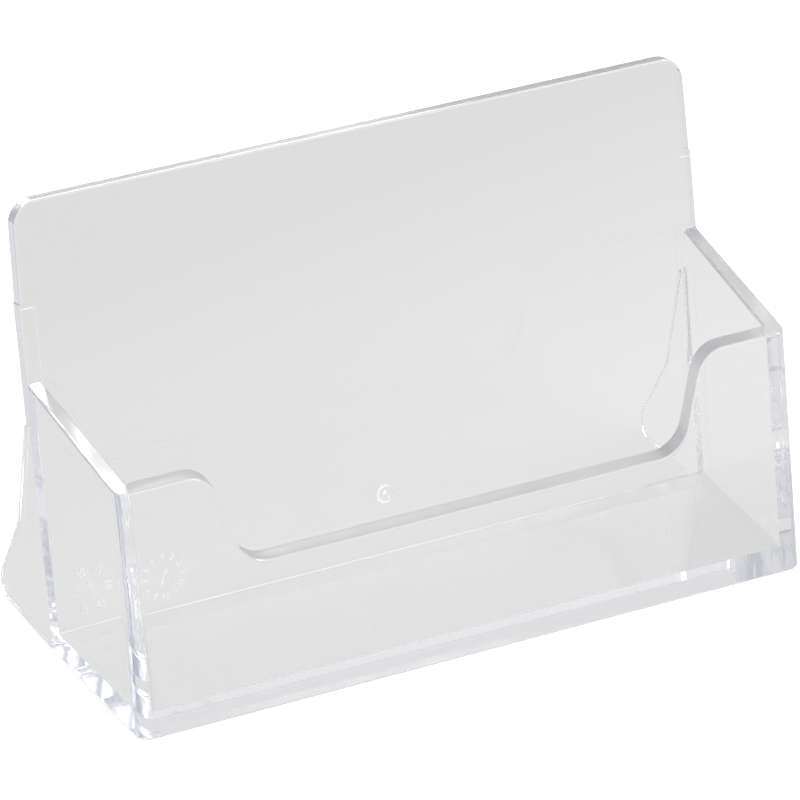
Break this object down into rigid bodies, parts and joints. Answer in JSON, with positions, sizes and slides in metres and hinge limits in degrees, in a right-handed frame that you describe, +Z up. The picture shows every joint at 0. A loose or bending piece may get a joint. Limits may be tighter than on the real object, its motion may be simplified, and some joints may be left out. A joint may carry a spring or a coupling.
{
  "type": "business card holder",
  "caption": "Clear moulded desk stand for landscape business cards: leaning back panel, pocket with a scooped front wall and sloped side walls, and flared legs behind.",
  "frame": {"origin": "on the ground, under the middle of the whole holder", "axes": "+X to the holder's right along its width, +Y to the rear, +Z up; the pocket opens upwards and its scoop faces -Y"},
  "size_m": [0.0986, 0.043, 0.0604],
  "materials": {
    "clear_plastic": "clear polished moulding"
  },
  "bodies": {
    "root": {"back_panel": "clear_plastic", "floor_plate": "clear_plastic", "front_wall": "clear_plastic", "left_side_wall": "clear_plastic", "right_side_wall": "clear_plastic", "left_rear_leg": "clear_plastic", "right_rear_leg": "clear_plastic"}
  },
  "joints": []
}
